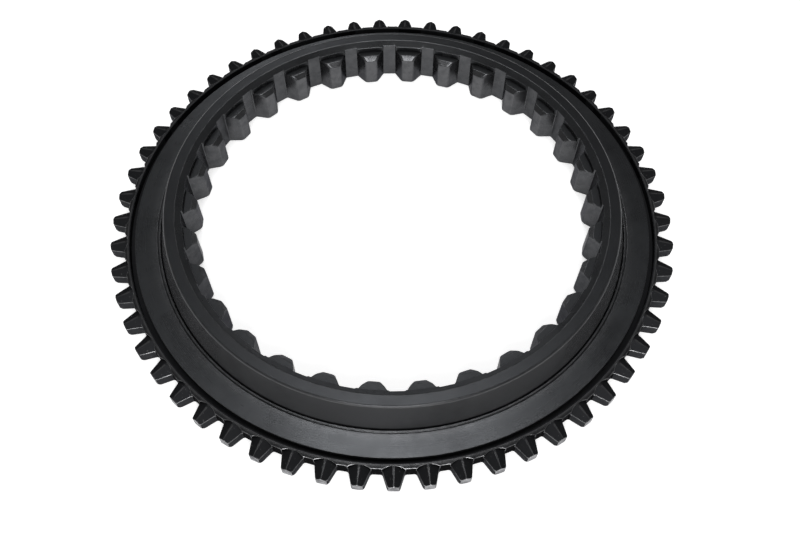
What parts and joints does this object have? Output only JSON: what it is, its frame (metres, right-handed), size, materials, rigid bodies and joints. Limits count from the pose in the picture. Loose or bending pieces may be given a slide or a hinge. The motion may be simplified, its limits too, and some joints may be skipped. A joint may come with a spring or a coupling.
{
  "type": "synchronizer hub ring",
  "caption": "Black steel synchronizer hub ring with pointed dog teeth round the rim, a raised friction cone and coarse spline teeth inside an open bore.",
  "frame": {"origin": "centre of the ring on its flat underside", "axes": "+Z along the ring's axis, up through the friction cone; +X through the middle of one dog tooth and one spline tooth"},
  "size_m": [0.1599, 0.16, 0.0131],
  "materials": {
    "blackened_steel": "black oxide, satin, with the cone and land ground smooth"
  },
  "bodies": {
    "root": {"synchronizer_ring": "blackened_steel"}
  },
  "joints": []
}
